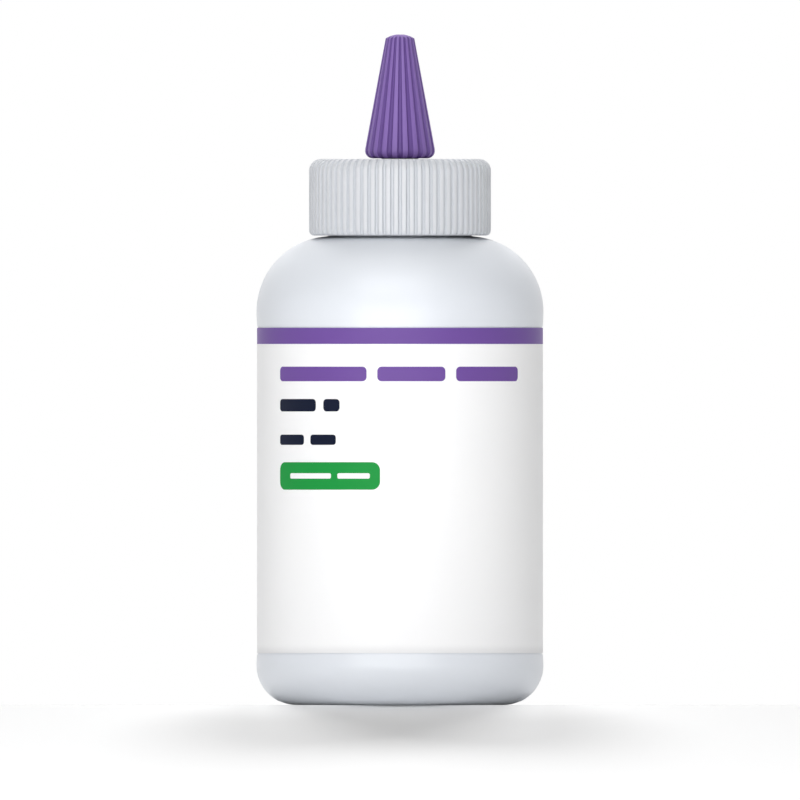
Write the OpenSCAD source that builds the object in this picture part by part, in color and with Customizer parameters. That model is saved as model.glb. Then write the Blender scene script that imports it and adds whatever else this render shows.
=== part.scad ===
// Eye drop bottle: squeeze bottle with a dropper nozzle, a ribbed screw collar and a pointed overcap.
// Millimetres, +Z up. The origin is the centre of the base, and the front of the label faces -Y.

/* [Bottle] */
// Diameter of the body
body_d = 26.5; // [25:0.5:29]
// Height of the body, from the base to the crest of the shoulder
body_h = 43.4; // [42.2:0.2:56]
// Radius of the round shoulder
shoulder_r = 6.95; // [5:0.05:7]
// Radius of the heel round the base
heel_r = 3.7; // [2:0.1:4]
// Thickness of the blown wall
wall = 0.9; // [0.7:0.05:1.1]
// Height of the push-up in the base
push_up_h = 0.6; // [0.2:0.1:1]
// Diameter of the push-up in the base
push_up_d = 16.4; // [12:0.2:17]

/* [Neck] */
// Outside diameter of the neck
neck_d = 12.4; // [12:0.1:12.6]
// Bore of the neck
neck_bore_d = 10; // [9.6:0.1:10.4]
// Height of the rim above the crest of the shoulder
neck_h = 4.6; // [4.4:0.1:4.8]

/* [Label] */
// Height of the lower edge of the label
label_bottom = 4.8; // [4.2:0.1:6]
// Height of the white panel
label_h = 28.65; // [20:0.05:29.5]
// Height of the coloured band above the panel
band_h = 1.5; // [1:0.1:2.8]
// Thickness of the film
film_t = 0.1; // [0.05:0.01:0.2]
// Gap between the ends of the film, at the back
film_gap = 1.5; // [0.5:0.1:4]

/* [Collar] */
// Outside diameter over the ribs
collar_d = 16.86; // [16.6:0.02:18]
// Height of the collar
collar_h = 7.1; // [7:0.1:7.4]
// Number of ribs
collar_ribs = 72; // [24:2:80]
// Depth of the flutes between the ribs
collar_flute = 0.22; // [0.1:0.02:0.3]

/* [Overcap] */
// Height of the overcap
overcap_h = 11.5; // [11.4:0.1:13]
// Diameter where the cone would meet its base
overcap_d = 6.8; // [6.6:0.1:8]
// Diameter of the cone at the edge of the crown
crown_d = 2.68; // [2.6:0.02:3.4]
// Number of ribs
overcap_ribs = 20; // [12:1:24]
// Depth of the flutes between the ribs
overcap_flute = 0.16; // [0.08:0.02:0.2]

/* [Dropper] */
// Height of the tip above the deck of the collar
tip_h = 8.8; // [8.4:0.1:8.9]
// Diameter of the drop-forming mouth
mouth_d = 1; // [0.9:0.05:1.1]
// Diameter of the drop channel
channel_d = 0.44; // [0.3:0.02:0.6]

/* [Hidden] */
$fn = 96;

// Overshoot of a cutter past the face that it opens
past = 1;

// Body and neck
body_r = body_d / 2;
neck_r = neck_d / 2;
neck_bore_r = neck_bore_d / 2;
rim_z = body_h + neck_h;
rim_round = 0.3;
neck_fillet = 0.7;
push_up_r = push_up_d / 2;
push_up_ball = (push_up_r * push_up_r + push_up_h * push_up_h) / (2 * push_up_h);

// Label panel, recessed by the thickness of the film
panel_margin = 0.1;
band_bottom = label_bottom + label_h;
label_top = band_bottom + band_h;

// Collar
collar_r = collar_d / 2;
collar_z = body_h + 0.1;
collar_top = collar_z + collar_h;
collar_top_round = 1.1;
collar_foot_round = 0.46;
flute_end_r = collar_r - collar_top_round + 0.05;
collar_bore_r = 7.05;
collar_lead_in = 0.4;
spout_hole_r = 2.45;
snap_bead_r = 6.25;

// Gasket and flange, held down by the deck of the collar
gasket_r = 6.15;
gasket_hole_r = neck_bore_r;
gasket_z = rim_z + 0.03;
flange_z = rim_z + 0.5;
flange_r = 6.4;
deck_clearance = 0.05;
deck_z = collar_top - 1.25;
flange_top = deck_z - deck_clearance;

// Dropper
plug_r = neck_bore_r - 0.06;
plug_bore_r = plug_r - 0.84;
plug_z = rim_z - 3.5;
boss_r = 2.3;
boss_top = collar_top - 0.05;
root_r = 1.7;
root_top = collar_top + 2.8;
spout_r = 1.5;
tip_r = 0.85;
tip_round = 0.3;
tip_z = collar_top + tip_h;
mouth_r = mouth_d / 2;
channel_r = channel_d / 2;

// Overcap, with its crown as part of a ball
overcap_z = collar_top + 0.05;
overcap_top = overcap_z + overcap_h;
overcap_r = overcap_d / 2;
crown_r = crown_d / 2;
crown_ball = 2.5;
crown_z = overcap_top - crown_ball + sqrt(crown_ball * crown_ball - crown_r * crown_r);
lean = atan((overcap_r - crown_r) / (crown_z - overcap_z));
foot_round = 0.74;
socket_r = 2.05;
socket_top = root_top + 0.2;
cone_bore_r = 1.75;
seal_pocket_r = 0.9;
seal_pocket_top = overcap_top - 1.15;

// Seal in the crown
seal_r = seal_pocket_r - 0.05;
seal_z = tip_z + 0.05;
seal_top = seal_pocket_top - 0.1;
pintle_r = mouth_r - 0.08;
pintle_z = tip_z - 0.2;

// Radius of the overcap's side at a height
function side_r(z) = overcap_r - (z - overcap_z) * tan(lean);

// Waste outside a round corner of radius r, above its centre or below it
module corner_waste(r, above) {
    difference() {
        translate([0, above ? 0 : -2 * r]) square(2 * r);
        circle(r);
    }
}

// Half section of a turned blank, with its outer corners rounded
module blank(r, bottom, top, foot_round, top_round) {
    difference() {
        translate([0, bottom]) square([r, top - bottom]);
        translate([r - top_round, top - top_round]) corner_waste(top_round, true);
        translate([r - foot_round, bottom + foot_round]) corner_waste(foot_round, false);
    }
}

// Wedges spaced round the axis, each as wide as half the pitch of the ribs
module wedges(count, r_in, r_out, bottom, top) {
    quarter = 90 / count;
    for (i = [0 : count - 1])
        translate([0, 0, bottom])
            rotate(i * 360 / count)
                linear_extrude(top - bottom)
                    polygon([
                        r_in * [cos(quarter), -sin(quarter)],
                        r_out * [cos(quarter), -sin(quarter)],
                        r_out * [cos(quarter), sin(quarter)],
                        r_in * [cos(quarter), sin(quarter)]
                    ]);
}

// Fillet that runs from the neck into the shoulder, tangent to both
module neck_root() {
    arc_x = body_r - shoulder_r;
    arc_z = body_h - shoulder_r;
    reach = shoulder_r + neck_fillet;
    fillet_x = neck_r + neck_fillet;
    fillet_z = arc_z + sqrt(reach * reach - (fillet_x - arc_x) * (fillet_x - arc_x));
    touch_x = arc_x + (fillet_x - arc_x) * shoulder_r / reach;
    difference() {
        translate([neck_r - wall / 2, arc_z]) square([touch_x - neck_r + wall / 2, fillet_z - arc_z]);
        translate([fillet_x, fillet_z]) circle(neck_fillet);
    }
}

// Push-up of the base, grown by an offset for the face inside
module push_up(grow) {
    translate([0, push_up_h - push_up_ball]) circle(push_up_ball + grow);
}

module bottle() {
    color([0.93, 0.94, 0.96])
        rotate_extrude() {
            difference() {
                union() {
                    blank(body_r, 0, body_h, heel_r, shoulder_r);
                    blank(neck_r, body_h - shoulder_r, rim_z, wall, rim_round);
                    neck_root();
                }
                // Label panel
                translate([body_r - film_t, label_bottom - panel_margin])
                    square([past, label_top - label_bottom + 2 * panel_margin]);
                push_up(0);
                // Inside of the body, and the bore of the neck
                difference() {
                    blank(body_r - wall, wall, body_h - wall, heel_r - wall, shoulder_r - wall);
                    push_up(wall);
                }
                translate([0, body_h - 2 * wall]) square([neck_bore_r, rim_z - body_h + 2 * wall + past]);
            }
        }
}

// Film wrapped round the label panel, between two heights, open at the back
module film(bottom, top) {
    difference() {
        rotate_extrude()
            translate([body_r - film_t, bottom]) square([film_t, top - bottom]);
        translate([-film_gap / 2, 0, bottom - past])
            cube([film_gap, 2 * body_r, top - bottom + 2 * past]);
    }
}

module label() {
    color([1, 1, 1]) film(label_bottom, band_bottom);
}

module label_band() {
    color([0.48, 0.36, 0.65]) film(band_bottom, label_top);
}

module dropper_nozzle() {
    color([0.95, 0.95, 0.92])
        rotate_extrude()
            difference() {
                union() {
                    polygon([
                        [0, plug_z],
                        [plug_r - 0.3, plug_z],
                        [plug_r, plug_z + 0.6],
                        [plug_r, flange_z],
                        [flange_r, flange_z],
                        [flange_r, flange_top],
                        [boss_r, flange_top],
                        [boss_r, boss_top],
                        [root_r, boss_top],
                        [root_r, root_top],
                        [spout_r, root_top + 0.2],
                        [tip_r, tip_z - tip_round],
                        [0, tip_z - tip_round]
                    ]);
                    blank(tip_r, tip_z - 2 * tip_round, tip_z, tip_round / 2, tip_round);
                }
                // Funnel under the flange, drop channel and mouth
                polygon([
                    [0, plug_z - past],
                    [plug_bore_r, plug_z - past],
                    [plug_bore_r, flange_z - 0.2],
                    [1.6, flange_z + 0.1],
                    [0.7, boss_top + 0.9],
                    [channel_r, root_top - 0.8],
                    [channel_r, tip_z - 0.6],
                    [mouth_r, tip_z - 0.35],
                    [mouth_r, tip_z + past],
                    [0, tip_z + past]
                ]);
            }
}

module neck_gasket() {
    color([0.82, 0.84, 0.86])
        rotate_extrude()
            translate([gasket_hole_r, gasket_z]) square([gasket_r - gasket_hole_r, flange_z - gasket_z]);
}

// Inside of the collar: lead-in, bore with its snap bead, and the hole for the spout
module collar_inside() {
    bead_top = flange_z - 0.05;
    polygon([
        [0, collar_z - past],
        [collar_bore_r + collar_lead_in + past, collar_z - past],
        [collar_bore_r, collar_z + collar_lead_in],
        [0, collar_z + collar_lead_in]
    ]);
    difference() {
        translate([0, collar_z]) square([collar_bore_r, deck_z - collar_z]);
        polygon([
            [collar_bore_r + past, bead_top],
            [collar_bore_r, bead_top],
            [snap_bead_r, bead_top - 0.1],
            [snap_bead_r, bead_top - 0.3],
            [collar_bore_r, bead_top - 1.1],
            [collar_bore_r + past, bead_top - 1.1]
        ]);
    }
    translate([0, deck_z - past]) square([spout_hole_r, collar_top - deck_z + 2 * past]);
}

module collar() {
    color([0.83, 0.85, 0.87])
        difference() {
            rotate_extrude()
                difference() {
                    blank(collar_r, collar_z, collar_top, collar_foot_round, collar_top_round);
                    collar_inside();
                }
            // Flutes between the ribs, which run over the top round and fade out at the deck
            difference() {
                wedges(collar_ribs, flute_end_r, collar_r + past, collar_z - past, collar_top + past);
                rotate_extrude()
                    blank(
                        collar_r - collar_flute,
                        collar_z - 2 * past,
                        collar_top - collar_flute / 2,
                        collar_foot_round,
                        collar_top_round - collar_flute
                    );
            }
        }
}

module tip_seal() {
    color([0.9, 0.9, 0.9])
        rotate_extrude()
            polygon([
                [0, pintle_z],
                [pintle_r - 0.15, pintle_z],
                [pintle_r, pintle_z + 0.15],
                [pintle_r, seal_z],
                [seal_r, seal_z],
                [seal_r, seal_top - 0.2],
                [seal_r - 0.2, seal_top],
                [0, seal_top]
            ]);
}

// Half section of a cone with a rounded foot. The ribs have it as it is, and the floor of the flutes lies
// inside it, half as deep under the foot as at the side.
module cone_section(inset, bottom, top) {
    foot_r = foot_round - inset;
    foot_z = overcap_z + foot_round - inset / 2;
    foot_x = side_r(foot_z) - inset - foot_r / cos(lean);
    touch_x = foot_x + foot_r * cos(lean);
    touch_z = foot_z + foot_r * sin(lean);
    difference() {
        polygon([
            [0, bottom],
            [side_r(bottom) - inset, bottom],
            [side_r(top) - inset, top],
            [0, top]
        ]);
        // Waste outside the foot
        difference() {
            polygon([
                [foot_x, bottom - past],
                [overcap_r + past, bottom - past],
                [overcap_r + past, touch_z],
                [touch_x, touch_z],
                [foot_x, foot_z]
            ]);
            translate([foot_x, foot_z]) circle(foot_r);
        }
    }
}

// Half section of the overcap's outside: the cone with its domed crown
module overcap_outline() {
    difference() {
        cone_section(0, overcap_z, overcap_top);
        // Waste outside the crown
        difference() {
            translate([0, crown_z - crown_ball / 10]) square([overcap_r, crown_ball]);
            translate([0, overcap_top - crown_ball]) circle(crown_ball);
        }
    }
}

module overcap() {
    color([0.5, 0.4, 0.67])
        difference() {
            rotate_extrude()
                difference() {
                    overcap_outline();
                    // Threaded socket, room for the tip, and the pocket of the seal
                    polygon([
                        [0, overcap_z - past],
                        [socket_r, overcap_z - past],
                        [socket_r, socket_top],
                        [cone_bore_r, socket_top],
                        [seal_pocket_r + 0.1, tip_z + 0.2],
                        [seal_pocket_r, tip_z + 0.2],
                        [seal_pocket_r, seal_pocket_top],
                        [0, seal_pocket_top]
                    ]);
                }
            // Flutes between the ribs, from under the foot to the edge of the crown
            difference() {
                wedges(overcap_ribs, crown_r / 2, overcap_r + past, overcap_z - past, overcap_top + past);
                rotate_extrude() cone_section(overcap_flute, overcap_z - 2 * past, overcap_top + 2 * past);
            }
        }
}

bottle();
label();
label_band();
dropper_nozzle();
neck_gasket();
collar();
tip_seal();
overcap();
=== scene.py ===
"""Eye drop bottle: the visual model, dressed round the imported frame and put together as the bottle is."""
import math

import bmesh
import bpy
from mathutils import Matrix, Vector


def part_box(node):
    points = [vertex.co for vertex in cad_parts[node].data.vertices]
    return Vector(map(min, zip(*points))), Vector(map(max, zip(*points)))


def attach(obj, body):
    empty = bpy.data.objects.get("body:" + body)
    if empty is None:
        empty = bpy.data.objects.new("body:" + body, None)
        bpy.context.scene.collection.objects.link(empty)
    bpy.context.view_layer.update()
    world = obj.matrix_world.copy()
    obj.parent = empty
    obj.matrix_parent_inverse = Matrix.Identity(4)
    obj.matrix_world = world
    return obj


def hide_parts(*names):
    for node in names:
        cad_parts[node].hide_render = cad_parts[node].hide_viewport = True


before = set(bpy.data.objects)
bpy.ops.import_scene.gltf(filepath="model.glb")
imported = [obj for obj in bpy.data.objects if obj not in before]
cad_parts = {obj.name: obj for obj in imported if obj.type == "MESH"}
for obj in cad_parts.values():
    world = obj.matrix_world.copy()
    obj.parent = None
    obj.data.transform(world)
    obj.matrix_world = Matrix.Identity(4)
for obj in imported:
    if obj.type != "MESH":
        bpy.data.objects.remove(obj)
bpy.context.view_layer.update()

# Camera. The photograph is a level view straight at the label with no perspective, so the camera is
# orthographic. In its square frame the bottle is 286 pixels across, and its base stands on row 705.
mm = 0.001
photo_px = 800
bottle_px = 286
base_row = 705
camera_reach = 0.4
bottle_low, bottle_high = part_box("bottle")
pixel = (bottle_high[0] - bottle_low[0]) / bottle_px
eye_z = (base_row - photo_px / 2) * pixel
bpy.ops.object.select_all(action="DESELECT")
bpy.ops.object.camera_add(location=(0, -camera_reach, eye_z), rotation=(math.radians(90), 0, 0))
camera = bpy.context.object
camera.data.type = "ORTHO"
camera.data.ortho_scale = photo_px * pixel
bpy.context.scene.camera = camera
bpy.context.scene.view_settings.view_transform = "Standard"


# Studio. A pale paper floor in a white surround, with three soft boxes in front and two soft suns behind.
# The floor is level under the bottle and falls away gently in front of it, because the photograph's
# level view still shows the shadow that lies on the floor.
floor_size = 3
floor_fall = math.radians(7)
floor_tone = 0.83
stand_r = 9.55 * mm
ambient = 0.08
white_from = 0.08
white_at = 0.2
white_glow = 0.45
bend_x = 12.5 * mm
bend_squeeze = 0.7
bend_reach = 10 * mm
bend_glow = 0.12


def pick(piece, wanted):
    """Select only the vertices whose place is wanted, in edit mode."""
    bpy.ops.mesh.select_mode(type="VERT")
    bpy.ops.mesh.select_all(action="DESELECT")
    mesh = bmesh.from_edit_mesh(piece.data)
    for vertex in mesh.verts:
        vertex.select_set(bool(wanted(vertex.co)))
    mesh.select_flush_mode()
    bmesh.update_edit_mesh(piece.data)


def bare_tree(owner):
    """The node tree of a new world or material, with nothing in it yet."""
    owner.use_nodes = True
    owner.node_tree.nodes.clear()
    return owner.node_tree


def shader(tree, kind, sockets=None, **settings):
    """Add a node, set it up, and feed its sockets with values or with other nodes' outputs."""
    node = tree.nodes.new(kind)
    for name, value in settings.items():
        setattr(node, name, value)
    for name, value in (sockets or {}).items():
        if isinstance(value, bpy.types.NodeSocket):
            tree.links.new(value, node.inputs[name])
        else:
            node.inputs[name].default_value = value
    return node


def reckon(tree, operation, *values):
    """The result of one operation on values or on other nodes' outputs."""
    return shader(tree, "ShaderNodeMath", dict(enumerate(values)), operation=operation).outputs[0]


def length_of(tree, vector):
    """The length of a vector."""
    return shader(tree, "ShaderNodeVectorMath", {0: vector}, operation="LENGTH").outputs["Value"]


def fade(tree, value, start, end, most=1.0):
    """0 up to the start, and from there a smooth rise to the most at the end."""
    sockets = {"Value": value, "From Min": start, "From Max": end, "To Max": most}
    return shader(tree, "ShaderNodeMapRange", sockets, interpolation_type="SMOOTHSTEP").outputs[0]


def seen_directly(tree):
    """1 where the camera, a reflection or see-through plastic looks, 0 where the surface gives light."""
    path = shader(tree, "ShaderNodeLightPath")
    seen = reckon(tree, "MAXIMUM", path.outputs["Is Camera Ray"], path.outputs["Is Glossy Ray"])
    return reckon(tree, "MAXIMUM", seen, path.outputs["Is Transmission Ray"])


def lamp(name, kind, azimuth, elevation, reach, energy):
    """A lamp that faces the bottle. Azimuth 0 is the camera's side and 90 the right, in degrees."""
    turn, tilt = math.radians(azimuth), math.radians(elevation)
    level = reach * math.cos(tilt)
    place = (level * math.sin(turn), -level * math.cos(turn), eye_z + reach * math.sin(tilt))
    bpy.ops.object.select_all(action="DESELECT")
    bpy.ops.object.light_add(type=kind, location=place, rotation=(math.pi / 2 - tilt, 0, turn))
    bpy.context.object.name = name
    light = bpy.context.object.data
    light.energy = energy
    return light


def soft_box(name, azimuth, elevation, reach, size, power):
    """A rectangular panel of light, given with its width and height."""
    panel = lamp(name, "AREA", azimuth, elevation, reach, power)
    panel.shape = "RECTANGLE"
    panel.size, panel.size_y = size


world = bpy.data.worlds.new("surround")
sky = bare_tree(world)
sky_levels = {"Value": seen_directly(sky), "To Min": ambient, "To Max": 1.0}
strength = shader(sky, "ShaderNodeMapRange", sky_levels)
surround = shader(sky, "ShaderNodeBackground", {"Color": (1, 1, 1, 1), "Strength": strength.outputs[0]})
shader(sky, "ShaderNodeOutputWorld", {"Surface": surround.outputs[0]})
bpy.context.scene.world = world

bpy.ops.object.select_all(action="DESELECT")
bpy.ops.mesh.primitive_plane_add(size=floor_size)
floor = bpy.context.object
floor.name = "floor"
bpy.ops.object.mode_set(mode="EDIT")
bpy.ops.mesh.select_all(action="SELECT")
bpy.ops.mesh.bisect(plane_co=(0, -stand_r, 0), plane_no=(0, 1, 0))
pick(floor, lambda place: place.y < -floor_size / 3)
drop = (floor_size / 2 - stand_r) * math.tan(floor_fall)
bpy.ops.transform.translate(value=(0, 0, -drop))
bpy.ops.object.mode_set(mode="OBJECT")

# The paper glows white away from the bottle. Beside its base along the bend it has a patch of painted
# light, which lifts the near end of the shadow there. Only the camera, reflections and see-through plastic
# see
# both: they light nothing, and the rest of the shadow stays.
paper = bpy.data.materials.new("studio_paper")
sheet = bare_tree(paper)
lit = shader(sheet, "ShaderNodeBsdfDiffuse", {"Color": (floor_tone, floor_tone, floor_tone, 1)})
spot = shader(sheet, "ShaderNodeTexCoord").outputs["Object"]
far_glow = fade(sheet, length_of(sheet, spot), white_from, white_at, white_glow)
spot_x, spot_y, _ = shader(sheet, "ShaderNodeSeparateXYZ", {0: spot}).outputs
beside = reckon(sheet, "SUBTRACT", reckon(sheet, "ABSOLUTE", spot_x), bend_x)
before = reckon(sheet, "MULTIPLY_ADD", spot_y, bend_squeeze, stand_r * bend_squeeze)
off_bend = shader(sheet, "ShaderNodeCombineXYZ", {"X": beside, "Y": before}).outputs[0]
# Painted light beside the base along the bend, lifting the near end of the bottle's shadow there.
bend_painted_light = fade(sheet, length_of(sheet, off_bend), bend_reach, 0.0, bend_glow)
glow = reckon(sheet, "MULTIPLY", reckon(sheet, "ADD", far_glow, bend_painted_light), seen_directly(sheet))
white = shader(sheet, "ShaderNodeEmission", {"Color": (1, 1, 1, 1), "Strength": glow})
surface = shader(sheet, "ShaderNodeAddShader", {0: lit.outputs[0], 1: white.outputs[0]})
shader(sheet, "ShaderNodeOutputMaterial", {"Surface": surface.outputs[0]})
floor.data.materials.append(paper)

soft_box("key", azimuth=-7, elevation=1, reach=0.32, size=(0.4, 0.12), power=0.49)
soft_box("fill", azimuth=-8, elevation=42, reach=0.36, size=(0.32, 0.22), power=0.5)
soft_box("top", azimuth=-8, elevation=78, reach=0.36, size=(0.32, 0.2), power=0.16)
for side_azimuth in (165, 195):
    back = lamp("back", "SUN", side_azimuth, elevation=52, reach=0.4, energy=1.35)
    back.angle = math.radians(16)
    bpy.context.object.visible_glossy = False


# Bottle. Blown in one piece from white low-density polyethylene, so it is a thin shell of even thickness
# with a parting line up both sides and a pinch-off line across the base. The label panel is recessed.
steps_round = 192
steps_per_mm = 8
crease = math.radians(35)
weld = 1e-6
body_r = bottle_high[0]
rim_z = bottle_high[2]
neck_h = 4.6 * mm
body_h = rim_z - neck_h
wall = 0.9 * mm
shoulder_round = 6.95 * mm
heel_round = 3.7 * mm
push_up_r = 8.2 * mm
push_up_h = 0.6 * mm
neck_r = 6.2 * mm
neck_bore_r = 5 * mm
neck_fillet = 0.7 * mm
throat_round = 0.4 * mm
rim_round = 0.3 * mm
rim_bore_round = 0.2 * mm
film = 0.1 * mm
panel_margin = 0.1 * mm
panel_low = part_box("label")[0][2] - panel_margin
panel_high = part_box("label_band")[1][2] + panel_margin
seam_half = 0.12 * mm
seam_height = 0.04 * mm
seam_foot = 0.4 * mm
pinch_height = 0.12 * mm
pinch_r = 6 * mm
clouds_per_metre = 90.0
polish_change = 0.04
plastic_ior = 1.5
scatter = 0.4


def arc(centre_r, centre_z, radius, first, last, count):
    """Corners along an arc of a section, between two angles in degrees, both ends included."""
    turns = [math.radians(first + (last - first) * i / count) for i in range(count + 1)]
    return [(centre_r + radius * math.cos(a), centre_z + radius * math.sin(a)) for a in turns]


def section(name, corners, angle=0.0, closed=True):
    """Draw a section in the plane at an angle round the axis, as a chain of edges.

    A corner is (radius, height), and a third number is the radius that rounds it."""
    across = (math.cos(angle), math.sin(angle))

    def place(corner):
        return (corner[0] * across[0], corner[0] * across[1], corner[1])

    bpy.ops.object.select_all(action="DESELECT")
    bpy.ops.mesh.primitive_plane_add(size=mm, location=place(corners[0]))
    piece = bpy.context.object
    piece.name = name
    piece.data.name = name
    bpy.ops.object.transform_apply(location=True)
    bpy.ops.object.mode_set(mode="EDIT")
    bpy.ops.mesh.select_all(action="SELECT")
    bpy.ops.mesh.merge(type="CENTER")
    for before, after in zip(corners, corners[1:]):
        step = [b - a for a, b in zip(place(before), place(after))]
        bpy.ops.mesh.extrude_region_move(TRANSFORM_OT_translate={"value": step})
    if closed:
        ends = (place(corners[0]), place(corners[-1]))
        pick(piece, lambda co: min(math.dist(co, end) for end in ends) < weld)
        bpy.ops.mesh.edge_face_add()
    for index, corner in enumerate(corners):
        if len(corner) < 3:
            continue
        before, after = corners[index - 1], corners[(index + 1) % len(corners)]
        turn_in = math.atan2(corner[1] - before[1], corner[0] - before[0])
        turn_out = math.atan2(after[1] - corner[1], after[0] - corner[0])
        turn = abs((turn_out - turn_in + math.pi) % math.tau - math.pi)
        pick(piece, lambda co: math.dist(co, place(corner)) < weld)
        bpy.ops.mesh.bevel(
            affect="VERTICES",
            offset=corner[2] * math.tan(turn / 2),
            segments=max(3, round(steps_per_mm * corner[2] / mm)),
            clamp_overlap=False,
        )
    return piece


def turned(name, corners, steps=steps_round, closed=True):
    """Spin a section once round the axis. A section that ends on the axis isn't closed."""
    piece = section(name, corners, closed=closed)
    bpy.ops.mesh.select_all(action="SELECT")
    bpy.ops.mesh.spin(steps=steps, angle=math.tau, center=(0, 0, 0), axis=(0, 0, 1))
    bpy.ops.mesh.select_all(action="SELECT")
    bpy.ops.mesh.remove_doubles(threshold=weld)
    bpy.ops.mesh.normals_make_consistent(inside=False)
    bpy.ops.object.mode_set(mode="OBJECT")
    return piece


def finish_piece(piece, body, slot, material, *nodes):
    """Shade a finished piece, give it its material, and seat it on its body in place of its nodes."""
    bpy.ops.object.select_all(action="DESELECT")
    piece.select_set(True)
    bpy.context.view_layer.objects.active = piece
    bpy.ops.object.shade_smooth_by_angle(angle=crease)
    piece.data.materials.clear()
    piece.data.materials.append(material)
    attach(piece, body)
    if nodes:
        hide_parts(*nodes)


def linear(*levels):
    """A colour given as it looks on a screen, 0 to 255, turned by the screen's curve to light."""
    shares = [level / 255 for level in levels]
    return tuple(s / 12.92 if s <= 0.04045 else ((s + 0.055) / 1.055) ** 2.4 for s in shares) + (1.0,)


def plastic(name, colour, shade, roughness, skin, relief, depth=0.0, gloss=0.4):
    """Plastic with a faint clouding of its colour and the fine skin of its mould.

    Skin is the width of the skin's dimples, relief their height, and depth how far light goes in, all in
    millimetres. Gloss is the strength of the reflection, where 0.5 is that of a polished face."""
    material = bpy.data.materials.new(name)
    tree = bare_tree(material)
    where = shader(tree, "ShaderNodeTexCoord").outputs["Object"]
    cloud = shader(
        tree, "ShaderNodeTexNoise", {"Vector": where, "Scale": clouds_per_metre, "Detail": 3.0}
    ).outputs["Fac"]
    dimples = shader(
        tree, "ShaderNodeTexNoise", {"Vector": where, "Scale": 1 / (skin * mm), "Detail": 4.0}
    ).outputs["Fac"]
    colours = shader(tree, "ShaderNodeMix", {"Factor": cloud, 6: colour, 7: shade}, data_type="RGBA")
    polish = shader(
        tree,
        "ShaderNodeMapRange",
        {"Value": dimples, "To Min": roughness - polish_change, "To Max": roughness + polish_change},
    )
    bump = shader(tree, "ShaderNodeBump", {"Height": dimples, "Strength": 1.0, "Distance": relief * mm})
    surface = shader(
        tree,
        "ShaderNodeBsdfPrincipled",
        {
            "Base Color": colours.outputs[2],
            "Roughness": polish.outputs[0],
            "IOR": plastic_ior,
            "Specular IOR Level": gloss,
            "Normal": bump.outputs[0],
            "Subsurface Weight": scatter if depth else 0.0,
            "Subsurface Radius": (1.0, 1.0, 1.0),
            "Subsurface Scale": depth * mm,
        },
    )
    shader(tree, "ShaderNodeOutputMaterial", {"Surface": surface.outputs[0]})
    return material


arc_r = body_r - shoulder_round
arc_z = body_h - shoulder_round
root_reach = shoulder_round + neck_fillet
root_r = neck_r + neck_fillet
root_z = arc_z + math.sqrt(root_reach**2 - (root_r - arc_r) ** 2)
root_angle = math.degrees(math.atan2(root_z - arc_z, root_r - arc_r))
ball = (push_up_r**2 + push_up_h**2) / (2 * push_up_h)
ball_z = push_up_h - ball
ball_edge = math.degrees(math.acos(push_up_r / ball))
inner_ball = ball + wall
inner_edge = math.degrees(math.asin((wall - ball_z) / inner_ball))
bottle = turned(
    "bottle_shell",
    arc(0, ball_z, ball, 90, ball_edge, count=8)
    + [
        (body_r, 0, heel_round),
        (body_r, panel_low),
        (body_r - film, panel_low),
        (body_r - film, panel_high),
        (body_r, panel_high),
    ]
    + arc(arc_r, arc_z, shoulder_round, 0, root_angle, count=24)
    + arc(root_r, root_z, neck_fillet, root_angle - 180, -180, count=6)
    + [
        (neck_r, rim_z, rim_round),
        (neck_bore_r, rim_z, rim_bore_round),
        (neck_bore_r, body_h - wall, throat_round),
        (body_r - wall, body_h - wall, shoulder_round - wall),
        (body_r - wall, wall, heel_round - wall),
    ]
    + arc(0, ball_z, inner_ball, inner_edge, 90, count=8),
    closed=False,
)
bpy.context.view_layer.objects.active = bottle
bpy.ops.object.mode_set(mode="EDIT")
for side in (-seam_half, seam_half):
    bpy.ops.mesh.select_all(action="SELECT")
    bpy.ops.mesh.bisect(plane_co=(0, side, 0), plane_no=(0, 1, 0))


def on_seam(co):
    """Outside of the shell on its parting line, from the neck to the heel, except on the label panel."""
    if abs(co.y) >= weld:
        return False
    side = abs(co.x)
    if co.z > arc_z:
        return abs(math.hypot(side - arc_r, co.z - arc_z) - shoulder_round) < wall / 4
    if co.z < heel_round:
        from_middle = math.hypot(side - (body_r - heel_round), heel_round - co.z)
        return abs(from_middle - heel_round) < wall / 4 and co.z > seam_foot
    beside_panel = co.z < panel_low - weld or co.z > panel_high + weld
    return beside_panel and side > body_r - wall / 2


pick(bottle, on_seam)
bpy.ops.transform.shrink_fatten(value=seam_height)
pick(bottle, lambda co: abs(co.y) < weld and abs(co.x) < pinch_r and co.z < push_up_h + weld)
bpy.ops.transform.translate(value=(0, 0, -pinch_height))
bpy.ops.object.mode_set(mode="OBJECT")
bottle_white = plastic(
    "blown_polyethylene",
    linear(228, 232, 238),
    linear(225, 229, 235),
    roughness=0.33,
    skin=1.4,
    relief=0.002,
    gloss=0.65,
)
finish_piece(bottle, "bottle", "bottle_plastic", bottle_white, "bottle")


# Neck thread. The ridge that the collar climbs, blown with the neck: a little more than one right-hand
# turn, with both ends run out into the wall.
collar_lead = 2.1 * mm
neck_thread_z = body_h + 1.2 * mm
neck_thread_start = math.radians(-150)
neck_thread_fade = 4.8 * mm
steps_per_turn = 96


def thread_form(root_r, crest_r, root_half, crest_half, crest_round):
    """The section of a thread: wide at its root inside the wall, narrow and rounded at its crest."""
    return [
        (root_r, -root_half),
        (crest_r, -crest_half, crest_round),
        (crest_r, crest_half, crest_round),
        (root_r, root_half),
    ]


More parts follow.
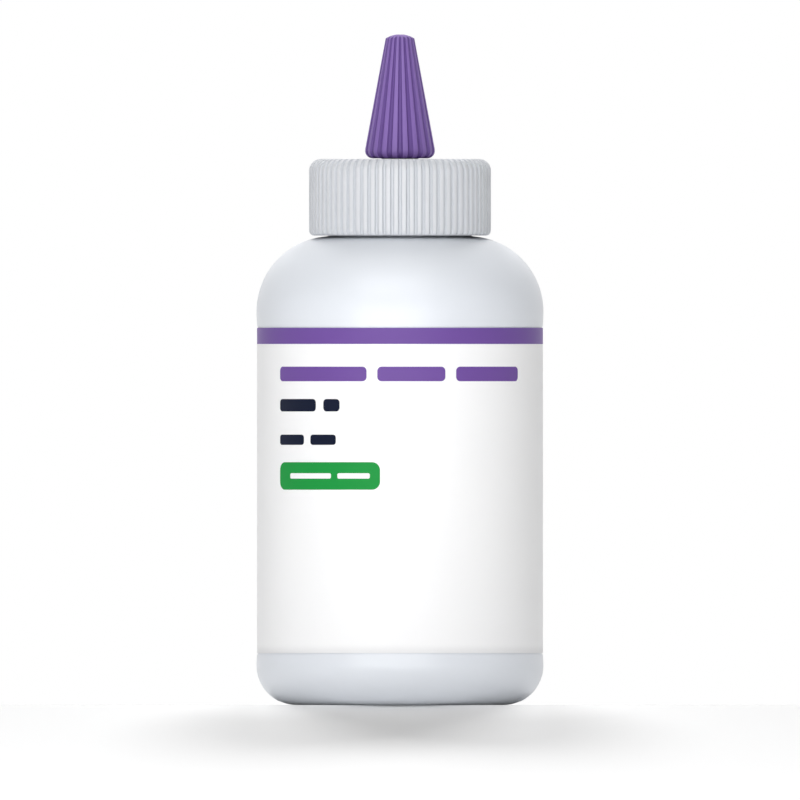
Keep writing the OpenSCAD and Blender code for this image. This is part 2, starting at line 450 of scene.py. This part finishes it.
def ridge(name, form, lead, turns, start_z, start, run_out, run_length):
    """Screw a thread's section round the axis and close it, from a height and an angle.

    Its ends move out by run_out, or in where that is below 0, to sink into the wall over run_length."""
    placed = [(r, z + start_z) + tuple(rest) for r, z, *rest in form]
    piece = section(name, placed, start)
    bpy.ops.object.mode_set(mode="OBJECT")
    screw = piece.modifiers.new("screw", "SCREW")
    screw.axis = "Z"
    screw.angle = turns * math.tau
    screw.screw_offset = turns * lead
    screw.steps = screw.render_steps = round(turns * steps_per_turn)
    bpy.ops.object.modifier_apply(modifier=screw.name)
    bpy.ops.object.mode_set(mode="EDIT")
    bpy.ops.mesh.select_all(action="SELECT")
    bpy.ops.mesh.fill_holes(sides=0)
    for turn in (0, turns):
        angle = start + turn * math.tau
        outward = (math.cos(angle), math.sin(angle))

        def at_end(co):
            flat = co.x * outward[1] - co.y * outward[0]
            forward = co.x * outward[0] + co.y * outward[1]
            level = start_z + turn * lead
            return abs(flat) < weld and forward > 0 and abs(co.z - level) < lead / 2

        pick(piece, at_end)
        bpy.ops.transform.translate(
            value=(run_out * outward[0], run_out * outward[1], 0),
            use_proportional_edit=True,
            use_proportional_connected=True,
            proportional_edit_falloff="SMOOTH",
            proportional_size=run_length,
        )
    bpy.ops.mesh.select_all(action="SELECT")
    bpy.ops.mesh.normals_make_consistent(inside=False)
    bpy.ops.object.mode_set(mode="OBJECT")
    return piece


neck_thread = ridge(
    "neck_thread",
    thread_form(6.0 * mm, 6.88 * mm, root_half=0.58 * mm, crest_half=0.26 * mm, crest_round=0.12 * mm),
    collar_lead,
    turns=1.15,
    start_z=neck_thread_z,
    start=neck_thread_start,
    run_out=-0.9 * mm,
    run_length=neck_thread_fade,
)
finish_piece(neck_thread, "bottle", "bottle_plastic", bottle_white)


# Label. White film wrapped round the recessed panel, flush with the bottle. Its ends leave a narrow gap
# at the back, where its lower corners are rounded so that they don't lift. Its foot has painted shade, a
# little darker towards the lower edge.
label_low, label_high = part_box("label")
film_gap = 1.5 * mm
film_inner_r = body_r - film
film_half = film_inner_r * (math.pi - math.asin(film_gap / 2 / film_inner_r))
label_corner = 1.4 * mm
painted_foot_shade_h = 0.95 * mm
corner_steps = 8


def wrapped(name, left, right, low, high, corner, inner_r, thickness, rounded="both"):
    """Cut a sheet with rounded corners, wrap it round the bottle and give it its thickness outwards.

    Left and right are measured along the sheet from the middle of the front. Rounded names the corners
    that are rounded: both, low or high."""
    bpy.ops.object.select_all(action="DESELECT")
    middle = (low + high) / 2
    bpy.ops.mesh.primitive_plane_add(
        size=1, location=((left + right) / 2, 0, middle), rotation=(math.radians(90), 0, 0)
    )
    piece = bpy.context.object
    piece.name = name
    piece.data.name = name
    piece.scale = (right - left, high - low, 1)
    bpy.ops.object.transform_apply()
    bpy.ops.object.mode_set(mode="EDIT")
    pick(piece, lambda co: rounded == "both" or (co.z > middle) == (rounded == "high"))
    bpy.ops.mesh.bevel(affect="VERTICES", offset=corner, segments=corner_steps)
    facet = inner_r * math.tau / steps_round
    for cut in range(math.ceil(left / facet), math.floor(right / facet) + 1):
        bpy.ops.mesh.select_all(action="SELECT")
        bpy.ops.mesh.bisect(plane_co=(cut * facet, 0, 0), plane_no=(1, 0, 0))
    bpy.ops.object.mode_set(mode="OBJECT")
    for vertex in piece.data.vertices:
        angle = vertex.co.x / inner_r
        vertex.co.x = inner_r * math.sin(angle)
        vertex.co.y = -inner_r * math.cos(angle)
    build_up = piece.modifiers.new("thickness", "SOLIDIFY")
    build_up.thickness = thickness
    build_up.offset = 1
    bpy.ops.object.modifier_apply(modifier=build_up.name)
    return piece


def lay_over(material, factor, colour):
    """Lay another colour over a plastic's own, by a factor from 0 to 1."""
    tree = material.node_tree
    surface = next(node for node in tree.nodes if node.type == "BSDF_PRINCIPLED")
    base = surface.inputs["Base Color"]
    sockets = {"Factor": factor, 6: base.links[0].from_socket, 7: colour}
    mixed = shader(tree, "ShaderNodeMix", sockets, data_type="RGBA")
    tree.links.new(mixed.outputs[2], base)


label = wrapped(
    "label_film",
    -film_half,
    film_half,
    label_low[2],
    label_high[2],
    label_corner,
    film_inner_r,
    film,
    rounded="low",
)
film_white = plastic(
    "label_film",
    linear(252, 252, 252),
    linear(250, 250, 251),
    roughness=0.45,
    skin=0.15,
    relief=0.002,
    gloss=0.25,
)
film_tree = film_white.node_tree
# Painted shade along the foot of the film: its colour darkens over the lowest millimetre towards the lower
# edge.
film_place = shader(film_tree, "ShaderNodeTexCoord").outputs["Object"]
film_z = shader(film_tree, "ShaderNodeSeparateXYZ", {0: film_place}).outputs["Z"]
painted_foot_shade = fade(film_tree, film_z, label_low[2] + painted_foot_shade_h, label_low[2])
lay_over(film_white, painted_foot_shade, linear(236, 236, 237))
finish_piece(label, "bottle", "label_film", film_white, "label")


# Band. The purple strip of the same film that closes the top of the label. It ends at the same gap, where
# its upper corners are rounded.
band_low, band_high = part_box("label_band")
band_corner = 0.7 * mm
band = wrapped(
    "label_band_film",
    -film_half,
    film_half,
    band_low[2],
    band_high[2],
    band_corner,
    film_inner_r,
    film,
    rounded="high",
)
band_purple = plastic(
    "band_print",
    linear(112, 80, 156),
    linear(109, 77, 153),
    roughness=0.45,
    skin=0.15,
    relief=0.002,
    gloss=0.2,
)
finish_piece(band, "bottle", "band_film", band_purple, "label_band")


# Print. Ink on the front of the label: rows of plain bars, and a green badge with two white bars on it.
# Every bar is a film of ink of its own, laid on the label and about a hundredth of a millimetre thick.
ink = 0.012 * mm
ink_under = 0.004 * mm
ink_r = body_r - ink_under
bar_corner = 0.3

# Places on the label are in millimetres: across as the camera sees them, and up from the table.
row_left = -11.1
badge_right = -1.85
badge_low = 19.95
badge_high = 22.5
badge_corner = 0.75


def seen_at(x):
    """How far round the front of the label a point lies that the camera sees at x."""
    return ink_r * math.asin(x / ink_r)


def bars(name, spans, low, height, base_r=ink_r):
    """A row of plain bars, each given by its left and right edge."""
    row = []
    for left, right in spans:
        row.append(
            wrapped(
                name,
                seen_at(left * mm),
                seen_at(right * mm),
                low * mm,
                (low + height) * mm,
                bar_corner * height * mm,
                base_r,
                ink,
            )
        )
    bpy.ops.object.select_all(action="DESELECT")
    for bar in row:
        bar.select_set(True)
    bpy.context.view_layer.objects.active = row[0]
    bpy.ops.object.join()
    return row[0]


def matte_ink(name, colour, shade, gloss):
    """Ink that dried matte, with the fine skin of the film under it."""
    return plastic(name, colour, shade, roughness=0.5, skin=0.15, relief=0.002, gloss=gloss)


badge_green = matte_ink("badge_print", linear(28, 150, 66), linear(25, 146, 63), gloss=0.15)
dark_ink = matte_ink("dark_print", linear(10, 20, 44), linear(8, 17, 40), gloss=0.12)
title = bars("title_bars", [(row_left, -3.1), (-2.1, 4.2), (5.2, 10.9)], low=30.0, height=1.35)
finish_piece(title, "bottle", "band_film", band_purple)
second_line = bars("second_line_bars", [(row_left, -7.8), (-7.1, -5.6)], low=27.2, height=1.15)
finish_piece(second_line, "bottle", "label_print", dark_ink)
third_line = bars("third_line_bars", [(row_left, -8.9), (-8.3, -5.95)], low=24.1, height=0.95)
finish_piece(third_line, "bottle", "label_print", dark_ink)
badge = wrapped(
    "badge_print",
    seen_at(row_left * mm),
    seen_at(badge_right * mm),
    badge_low * mm,
    badge_high * mm,
    badge_corner * mm,
    ink_r,
    ink,
)
finish_piece(badge, "bottle", "badge_print", badge_green)
badge_line = bars(
    "badge_bars", [(-10.15, -6.4), (-5.8, -2.8)], low=20.975, height=0.5, base_r=ink_r + ink / 2
)
finish_piece(badge_line, "bottle", "label_film", film_white)


# Dropper nozzle. Moulded in natural polyethylene: the plug goes into the neck, the flange lies under the
# deck of the collar, and the thin spout ends in the mouth that forms the drop.
nozzle_low, nozzle_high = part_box("dropper_nozzle")
collar_low, collar_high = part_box("collar")
collar_top = collar_high[2]
nozzle_steps = 128
flange_r = nozzle_high[0]
flange_z = rim_z + 0.5 * mm
flange_top = flange_z + 0.75 * mm
plug_z = nozzle_low[2]
plug_r = 4.94 * mm
plug_lead_r = 4.64 * mm
plug_lead_h = 0.6 * mm
plug_bore_r = 4.1 * mm
boss_r = 2.3 * mm
boss_top = collar_top - 0.05 * mm
spout_r = 1.7 * mm
spout_z = collar_top + 2.8 * mm
taper_r = 1.5 * mm
taper_drop = 0.2 * mm
tip_z = nozzle_high[2]
tip_r = 0.85 * mm
cup_r = 0.5 * mm
channel_r = 0.22 * mm
funnel_r = 1.6 * mm
funnel_top_r = 0.7 * mm
nozzle = turned(
    "nozzle_moulding",
    [
        (plug_bore_r, plug_z, 0.1 * mm),
        (plug_lead_r, plug_z),
        (plug_r, plug_z + plug_lead_h),
        (plug_r, flange_z),
        (flange_r, flange_z, 0.12 * mm),
        (flange_r, flange_top, 0.15 * mm),
        (boss_r, flange_top, 0.1 * mm),
        (boss_r, boss_top, 0.12 * mm),
        (spout_r, boss_top, 0.08 * mm),
        (spout_r, spout_z, 0.1 * mm),
        (taper_r, spout_z + taper_drop, 0.1 * mm),
        (tip_r, tip_z, 0.3 * mm),
        (cup_r, tip_z, 0.04 * mm),
        (cup_r, tip_z - 0.35 * mm),
        (channel_r, tip_z - 0.6 * mm),
        (channel_r, spout_z - 0.8 * mm),
        (funnel_top_r, boss_top + 0.9 * mm, 0.4 * mm),
        (funnel_r, flange_z + 0.1 * mm, 0.3 * mm),
        (plug_bore_r, flange_z - 0.2 * mm, 0.1 * mm),
    ],
    steps=nozzle_steps,
)
natural = plastic(
    "natural_polyethylene",
    linear(243, 243, 238),
    linear(238, 239, 234),
    roughness=0.33,
    skin=0.8,
    relief=0.003,
    depth=1.2,
)
finish_piece(nozzle, "nozzle", "nozzle_plastic", natural, "dropper_nozzle")


# Nozzle thread. Two starts of a right-hand thread round the root of the spout, two thirds of a turn each,
# for the overcap to screw down on.
cap_lead = 2.5 * mm
cap_thread_turns = 0.68
cap_thread_z = boss_top + 0.7 * mm
cap_thread_fade = 2.2 * mm


def pair_of_ridges(name, form, start, run_out):
    """Two ridges on opposite sides of the axis, joined into one piece."""
    pair = []
    for angle in (start, start + math.pi):
        pair.append(
            ridge(name, form, cap_lead, cap_thread_turns, cap_thread_z, angle, run_out, cap_thread_fade)
        )
    bpy.ops.object.select_all(action="DESELECT")
    for one in pair:
        one.select_set(True)
    bpy.context.view_layer.objects.active = pair[0]
    bpy.ops.object.join()
    return pair[0]


def cap_thread_form(root_r, crest_r):
    """The form that the threads of the nozzle and the overcap share, between two radii."""
    return thread_form(root_r, crest_r, root_half=0.42 * mm, crest_half=0.16 * mm, crest_round=0.06 * mm)


nozzle_thread = pair_of_ridges(
    "nozzle_thread", cap_thread_form(1.55 * mm, 1.95 * mm), start=0.0, run_out=-0.4 * mm
)
finish_piece(nozzle_thread, "nozzle", "nozzle_plastic", natural)


# Gasket. A foam washer die-cut from sheet, clamped between the flange of the nozzle and the rim of the
# neck.
gasket_low, gasket_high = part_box("neck_gasket")
gasket_round = 0.06 * mm
gasket = turned(
    "gasket_washer",
    [
        (neck_bore_r, gasket_low[2], gasket_round),
        (gasket_high[0], gasket_low[2], gasket_round),
        (gasket_high[0], gasket_high[2], gasket_round),
        (neck_bore_r, gasket_high[2], gasket_round),
    ],
    steps=nozzle_steps,
)
foam = plastic(
    "washer_foam", linear(226, 229, 232), linear(206, 210, 214), roughness=0.75, skin=0.12, relief=0.03
)
finish_piece(gasket, "nozzle", "gasket_foam", foam, "neck_gasket")


# Collar. Injection moulded in light grey polypropylene: a skirt with 72 ribs for grip, a flat deck with the
# hole for the spout, and a snap bead in the bore that keeps the flange of the nozzle up against the deck.
collar_z = collar_low[2]
collar_r = 8.43 * mm
collar_ribs = 72
collar_flute = 0.22 * mm
collar_top_round = 1.1 * mm
collar_foot_round = 0.46 * mm
collar_bore_r = 7.05 * mm
bore_lead = 0.4 * mm
spout_hole_r = 2.45 * mm
deck_z = collar_top - 1.25 * mm
bead_top = flange_z - 0.05 * mm
bead_r = 6.25 * mm
columns_per_rib = 8
flute_shade_from = -0.25
flute_shade_to = 0.05


def press_flutes(piece, ribs, floor_of):
    """Sink three columns of vertices in every eight to the floor of the flutes, ring by ring.

    floor_of takes the radius and height of a ring, and gives those of the floor there, or nothing."""
    columns = ribs * columns_per_rib
    rings = {}
    for vertex in piece.data.vertices:
        radius = math.hypot(vertex.co.x, vertex.co.y)
        floor_ring = floor_of(radius, vertex.co.z)
        if floor_ring:
            rings[round(radius / weld), round(vertex.co.z / weld)] = (radius, vertex.co.z, floor_ring)
    bpy.context.view_layer.objects.active = piece
    bpy.ops.object.mode_set(mode="EDIT")
    for radius, height, (floor_r, floor_z) in rings.values():

        def in_flute(co):
            column = round(math.atan2(co.y, co.x) / math.tau * columns)
            beside = (column + columns_per_rib // 2) % columns_per_rib - columns_per_rib // 2
            same = abs(co.z - height) < weld and abs(math.hypot(co.x, co.y) - radius) < weld
            return same and abs(beside) <= 1

        pick(piece, in_flute)
        shrink = floor_r / radius
        bpy.ops.transform.resize(value=(shrink, shrink, 1), center_override=(0, 0, 0))
        bpy.ops.transform.translate(value=(0, 0, floor_z - height))
    bpy.ops.object.mode_set(mode="OBJECT")


def soften(piece, width):
    """Round the sharp edges of a moulding."""
    bpy.ops.object.select_all(action="DESELECT")
    piece.select_set(True)
    bpy.context.view_layer.objects.active = piece
    edge = piece.modifiers.new("edge", "BEVEL")
    edge.width = width
    edge.segments = 2
    edge.limit_method = "ANGLE"
    edge.angle_limit = crease
    edge.use_clamp_overlap = True
    bpy.ops.object.modifier_apply(modifier=edge.name)


def paint_flute_shade(material, ribs, core_r, core_z, core_lean, flute_shade_colour):
    """Paint shade into the flutes between the ribs: a darker colour that stands in for the shade in them,
    on what stands outside a core.

    The core lies inside the wall of the moulding: its radius is given at a height, and so is its lean."""
    tree = material.node_tree
    where = shader(tree, "ShaderNodeTexCoord").outputs["Object"]
    x, y, z = shader(tree, "ShaderNodeSeparateXYZ", {0: where}).outputs
    phase = reckon(tree, "MULTIPLY", reckon(tree, "ARCTAN2", y, x), float(ribs))
    # Painted shade: the mask is 1 in the flutes and 0 on the crests.
    flute_shade_mask = shader(
        tree,
        "ShaderNodeMapRange",
        {"Value": reckon(tree, "COSINE", phase), "From Min": flute_shade_from, "From Max": flute_shade_to},
    )
    flat = shader(tree, "ShaderNodeCombineXYZ", {"X": x, "Y": y})
    upright_r = reckon(tree, "MULTIPLY_ADD", z, core_lean, length_of(tree, flat.outputs[0]))
    outside = reckon(tree, "GREATER_THAN", upright_r, core_r + core_z * core_lean)
    lay_over(material, reckon(tree, "MULTIPLY", flute_shade_mask.outputs[0], outside), flute_shade_colour)


collar = turned(
    "collar_moulding",
    [
        (collar_bore_r + bore_lead, collar_z, 0.06 * mm),
        (collar_r, collar_z, collar_foot_round),
        (collar_r, collar_top, collar_top_round),
        (spout_hole_r, collar_top, 0.12 * mm),
        (spout_hole_r, deck_z, 0.06 * mm),
        (collar_bore_r, deck_z, 0.15 * mm),
        (collar_bore_r, bead_top),
        (bead_r, bead_top - 0.1 * mm, 0.05 * mm),
        (bead_r, bead_top - 0.3 * mm, 0.05 * mm),
        (collar_bore_r, bead_top - 1.1 * mm),
        (collar_bore_r, collar_z + bore_lead),
    ],
    steps=collar_ribs * columns_per_rib,
)


def collar_floor(radius, height):
    """The flutes run straight up the skirt, over the top round, and fade out at the edge of the deck."""
    centre_r, centre_z = collar_r - collar_top_round, collar_top - collar_top_round
    inner = 1 - collar_flute / collar_top_round
    if height > centre_z + weld:
        if radius > centre_r + weld:
            floor_r = centre_r + (radius - centre_r) * inner
            return floor_r, centre_z + collar_flute / 2 + (height - centre_z) * inner
    elif radius > collar_r - collar_flute + weld:
        return collar_r - collar_flute, height


press_flutes(collar, collar_ribs, collar_floor)
soften(collar, 0.03 * mm)
collar_grey = plastic(
    "collar_polypropylene",
    linear(217, 219, 223),
    linear(214, 216, 220),
    roughness=0.42,
    skin=0.5,
    relief=0.003,
    gloss=0.25,
)
# The flutes of the collar get painted shade, a darker grey than the crests.
paint_flute_shade(
    collar_grey,
    collar_ribs,
    core_r=collar_bore_r + bore_lead,
    core_z=collar_z,
    core_lean=0.0,
    flute_shade_colour=linear(202, 205, 210),
)
finish_piece(collar, "collar", "collar_plastic", collar_grey, "collar")


# Collar thread. One right-hand turn moulded in the bore, half a pitch away from the thread of the neck, so
# that the two slide past each other.
collar_thread = ridge(
    "collar_thread",
    thread_form(7.2 * mm, 6.5 * mm, root_half=0.5 * mm, crest_half=0.2 * mm, crest_round=0.1 * mm),
    collar_lead,
    turns=1.0,
    start_z=neck_thread_z,
    start=neck_thread_start + math.pi,
    run_out=0.7 * mm,
    run_length=neck_thread_fade,
)
finish_piece(collar_thread, "collar", "collar_plastic", collar_grey)


# Tip seal. A soft plug pressed into the crown of the overcap, whose pintle closes the mouth of the tip
# when the overcap is screwed down.
seal_low, seal_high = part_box("tip_seal")
seal_r = seal_high[0]
seal_face = tip_z + 0.05 * mm
seal_chamfer = 0.2 * mm
pintle_r = 0.42 * mm
pintle_chamfer = 0.15 * mm
seal = turned(
    "seal_plug",
    [
        (0, seal_low[2]),
        (pintle_r - pintle_chamfer, seal_low[2], 0.04 * mm),
        (pintle_r, seal_low[2] + pintle_chamfer, 0.04 * mm),
        (pintle_r, seal_face, 0.03 * mm),
        (seal_r, seal_face, 0.06 * mm),
        (seal_r, seal_high[2] - seal_chamfer, 0.05 * mm),
        (seal_r - seal_chamfer, seal_high[2], 0.05 * mm),
        (0, seal_high[2]),
    ],
    steps=96,
    closed=False,
)
seal_soft = plastic(
    "seal_elastomer", linear(232, 232, 230), linear(226, 226, 224), roughness=0.55, skin=0.2, relief=0.004
)
finish_piece(seal, "tip_seal", "seal_rubber", seal_soft, "tip_seal")


# Overcap. Injection moulded in purple polypropylene: a tall cone with 20 ribs that fade out at the domed
# crown and go round under the foot. The mark of the gate is in the middle of the crown.
cap_low, cap_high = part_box("overcap")
cap_z = cap_low[2]
cap_top = cap_high[2]
cap_r = 3.4 * mm
crown_r = 1.34 * mm
crown_ball = 2.5 * mm
cap_ribs = 20
cap_flute = 0.16 * mm
cap_foot_round = 0.74 * mm
crown_z = cap_top - crown_ball + math.sqrt(crown_ball**2 - crown_r**2)
lean = math.atan((cap_r - crown_r) / (crown_z - cap_z))
crown_edge = math.degrees(math.acos(crown_r / crown_ball))
pocket_r = 0.9 * mm
pocket_top = cap_top - 1.15 * mm
pocket_step = 0.1 * mm
socket_r = 2.05 * mm
socket_top_r = 1.75 * mm
socket_room = 0.2 * mm
gate_r = 0.32 * mm
gate_depth = 0.06 * mm
gate_rim = 0.02 * mm
overcap = turned(
    "overcap_moulding",
    [
        (0, pocket_top),
        (pocket_r, pocket_top, 0.05 * mm),
        (pocket_r, tip_z + socket_room),
        (pocket_r + pocket_step, tip_z + socket_room),
        (socket_top_r, spout_z + socket_room),
        (socket_r, spout_z + socket_room),
        (socket_r, cap_z, 0.1 * mm),
        (cap_r, cap_z, cap_foot_round),
    ]
    + arc(0, cap_top - crown_ball, crown_ball, crown_edge, 82, count=6)
    + [
        (gate_r, cap_top - gate_rim, gate_rim),
        (gate_r - gate_rim, cap_top - gate_depth),
        (0, cap_top - gate_depth),
    ],
    steps=cap_ribs * columns_per_rib,
    closed=False,
)


def cone_r(height):
    """Radius of the overcap's side at a height."""
    return cap_r - (height - cap_z) * math.tan(lean)


def cap_floor(radius, height):
    """The flutes run from under the foot, round it and up the cone, to the edge of the crown."""
    foot_z = cap_z + cap_foot_round
    foot_r = cone_r(foot_z) - cap_foot_round / math.cos(lean)
    if height < foot_z + cap_foot_round * math.sin(lean) - weld:
        if radius > foot_r + weld:
            round_inside = cap_foot_round - cap_flute
            centre_z = foot_z - cap_flute / 2
            centre_r = cone_r(centre_z) - cap_flute - round_inside / math.cos(lean)
            inner = round_inside / cap_foot_round
            return centre_r + (radius - foot_r) * inner, centre_z + (height - foot_z) * inner
    elif radius > cone_r(height) - cap_flute + weld:
        return cone_r(height) - cap_flute, height


press_flutes(overcap, cap_ribs, cap_floor)
soften(overcap, 0.025 * mm)
cap_purple = plastic(
    "overcap_polypropylene",
    linear(133, 105, 174),
    linear(130, 102, 171),
    roughness=0.42,
    skin=0.4,
    relief=0.003,
    gloss=0.3,
)
# The flutes of the overcap get painted shade, a darker purple than the crests.
paint_flute_shade(
    cap_purple, cap_ribs, core_r=2.4 * mm, core_z=cap_z, core_lean=0.125, flute_shade_colour=linear(98, 71, 138)
)
finish_piece(overcap, "overcap", "overcap_plastic", cap_purple, "overcap")


# Overcap thread. Two starts moulded in the socket, a quarter turn away from those on the root of the
# nozzle, so that they slide between them.
cap_thread = pair_of_ridges(
    "overcap_thread", cap_thread_form(2.2 * mm, 1.8 * mm), start=math.pi / 2, run_out=0.4 * mm
)
finish_piece(cap_thread, "overcap", "overcap_plastic", cap_purple)
